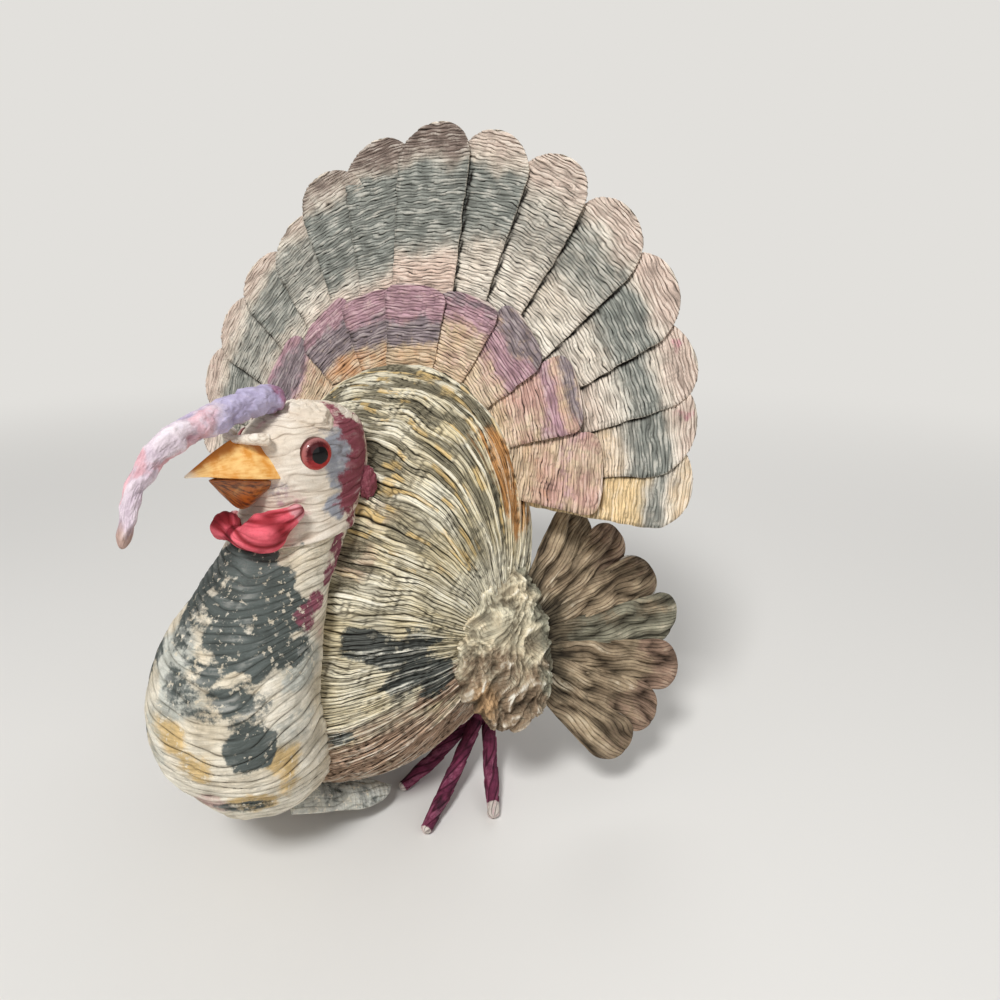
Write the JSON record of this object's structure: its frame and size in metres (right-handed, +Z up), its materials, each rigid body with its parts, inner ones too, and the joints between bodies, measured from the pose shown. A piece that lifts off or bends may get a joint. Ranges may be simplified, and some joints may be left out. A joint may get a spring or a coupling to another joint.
{
  "type": "thanksgiving turkey figure",
  "caption": "Strutting turkey figure of crinkled paper over foam and wire, with a fanned tail, spread wings, a bendable snood and splayed toes to stand on a table.",
  "frame": {"origin": "on the table, under the middle of the figure's box", "axes": "+Z up, the bird faces -Y, its own left side is +X"},
  "size_m": [0.2022, 0.1396, 0.2122],
  "materials": {
    "body_paper": "crinkled crepe paper strips, straw with grey-green washes, matt",
    "breast_paper": "crepe paper, slate paint over cream, matt",
    "head_paper": "wrapped paper, off-white with plum and blue-grey paint, matt",
    "pad_paper": "crumpled paper, cream and pinkish brown, matt",
    "tail_paper": "crepe paper with cross wrinkles, peach to slate bands, matt",
    "covert_paper": "crepe paper, ochre to plum, matt",
    "wing_paper": "crepe paper with long wrinkles, taupe, matt",
    "snood_paper": "twisted paper over wire, lavender and pink, matt",
    "wattle_paper": "folded paper, raspberry pink, matt",
    "toe_paper": "paper wound on wire, maroon with worn white tips, matt",
    "beak_paint": "amber lacquer on a moulded form, glossy",
    "eye_glass": "red glass dome with a black pupil, polished",
    "foam": "white expanded foam",
    "board": "grey-brown card",
    "wire": "annealed steel wire"
  },
  "bodies": {
    "figure": {"body_wrap": "body_paper", "breast": "breast_paper", "head": "head_paper", "left_wing_pad": "pad_paper", "right_wing_pad": "pad_paper", "tail_feather_center": "tail_paper", "tail_feather_left_1": "tail_paper", "tail_feather_left_2": "tail_paper", "tail_feather_left_3": "tail_paper", "tail_feather_left_4": "tail_paper", "tail_feather_left_5": "tail_paper", "tail_feather_left_6": "tail_paper", "tail_feather_left_7": "tail_paper", "tail_feather_right_1": "tail_paper", "tail_feather_right_2": "tail_paper", "tail_feather_right_3": "tail_paper", "tail_feather_right_4": "tail_paper", "tail_feather_right_5": "tail_paper", "tail_feather_right_6": "tail_paper", "tail_feather_right_7": "tail_paper", "tail_covert_center": "covert_paper", "tail_covert_left_1": "covert_paper", "tail_covert_left_2": "covert_paper", "tail_covert_left_3": "covert_paper", "tail_covert_left_4": "covert_paper", "tail_covert_right_1": "covert_paper", "tail_covert_right_2": "covert_paper", "tail_covert_right_3": "covert_paper", "tail_covert_right_4": "covert_paper", "left_wing_feather_1": "wing_paper", "left_wing_feather_2": "wing_paper", "left_wing_feather_3": "wing_paper", "left_wing_feather_4": "wing_paper", "left_wing_feather_5": "wing_paper", "left_wing_feather_6": "wing_paper", "left_wing_feather_7": "wing_paper", "right_wing_feather_1": "wing_paper", "right_wing_feather_2": "wing_paper", "right_wing_feather_3": "wing_paper", "right_wing_feather_4": "wing_paper", "right_wing_feather_5": "wing_paper", "right_wing_feather_6": "wing_paper", "right_wing_feather_7": "wing_paper", "wattle": "wattle_paper", "left_leg": "toe_paper", "right_leg": "toe_paper", "left_toe_inner": "toe_paper", "left_toe_middle": "toe_paper", "left_toe_outer": "toe_paper", "right_toe_inner": "toe_paper", "right_toe_middle": "toe_paper", "right_toe_outer": "toe_paper", "upper_beak": "beak_paint", "lower_beak": "beak_paint", "left_eye": "eye_glass", "right_eye": "eye_glass", "body_core": "foam", "tail_board": "board", "neck_wire": "wire"},
    "snood": {"snood": "snood_paper"}
  },
  "joints": [
    {"name": "snood_bend", "type": "hinge", "parent": "figure", "child": "snood", "pos_m": [0, -0.02039, 0.13424], "axis": [-1, 0, 0], "range_deg": [-4, 25]}
  ]
}
